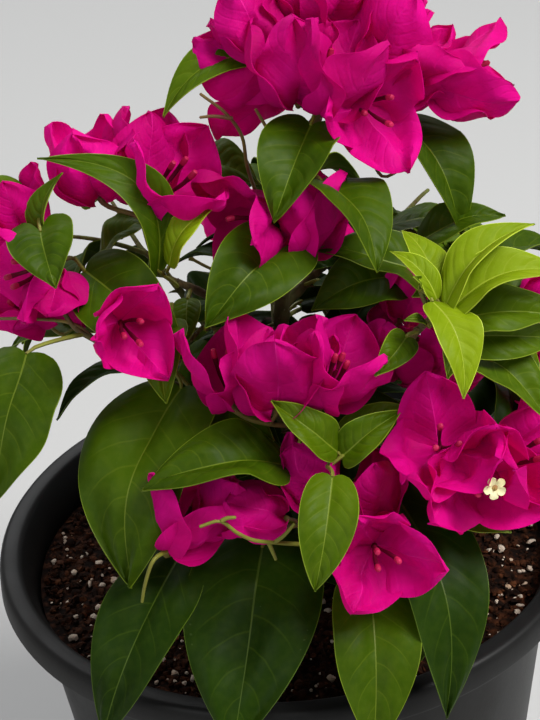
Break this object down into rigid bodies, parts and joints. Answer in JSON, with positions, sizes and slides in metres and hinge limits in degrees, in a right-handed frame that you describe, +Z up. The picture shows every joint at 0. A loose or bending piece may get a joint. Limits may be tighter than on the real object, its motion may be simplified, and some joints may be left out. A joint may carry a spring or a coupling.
{
  "type": "potted bougainvillea bush",
  "caption": "Bougainvillea bush with a leaning stem, spreading boughs, heart-shaped leaves and clusters of papery magenta bracts, in a round black nursery pot filled with soil.",
  "frame": {"origin": "centre of the pot's flat underside", "axes": "+Z is up, -Y points towards the side that the bush shows best, +X is to the right as seen from that side"},
  "size_m": [0.2679, 0.2971, 0.4517],
  "materials": {
    "pot": "moulded matte black plastic with a slightly glossy rim",
    "soil": "loose dark brown potting mix with pale perlite",
    "bark": "thin grey-brown bark, greener on young wood",
    "foliage": "soft waxy green leaf",
    "blossom": "papery magenta bract"
  },
  "bodies": {
    "root": {"pot": "pot", "soil": "soil", "trunk": "bark", "bough_left": "bark", "bough_far_left": "bark", "bough_centre": "bark", "bough_front_left": "bark", "bough_front": "bark", "bough_front_right": "bark", "bough_right_low": "bark", "bough_right": "bark", "bough_right_shoot": "bark", "bough_right_up": "bark", "bough_top_right": "bark", "bough_back_top": "bark", "bough_back_left": "bark", "bough_back_right": "bark", "bough_back": "bark", "bough_back_low_left": "bark", "bough_back_low_right": "bark", "bough_left_side": "bark", "mass_top": "blossom", "mass_top_right": "blossom", "mass_upper": "foliage", "mass_left": "foliage", "mass_far_left": "foliage", "mass_centre": "foliage", "mass_young_shoot": "foliage", "mass_right_up": "foliage", "mass_right": "blossom", "mass_right_front": "foliage", "mass_front_left": "foliage", "mass_front": "foliage", "mass_front_right": "foliage", "mass_back_top": "foliage", "mass_back_left": "foliage", "mass_back_right": "foliage", "mass_back": "foliage", "mass_back_low_left": "foliage", "mass_back_low_right": "foliage", "mass_left_side": "foliage"}
  },
  "joints": []
}
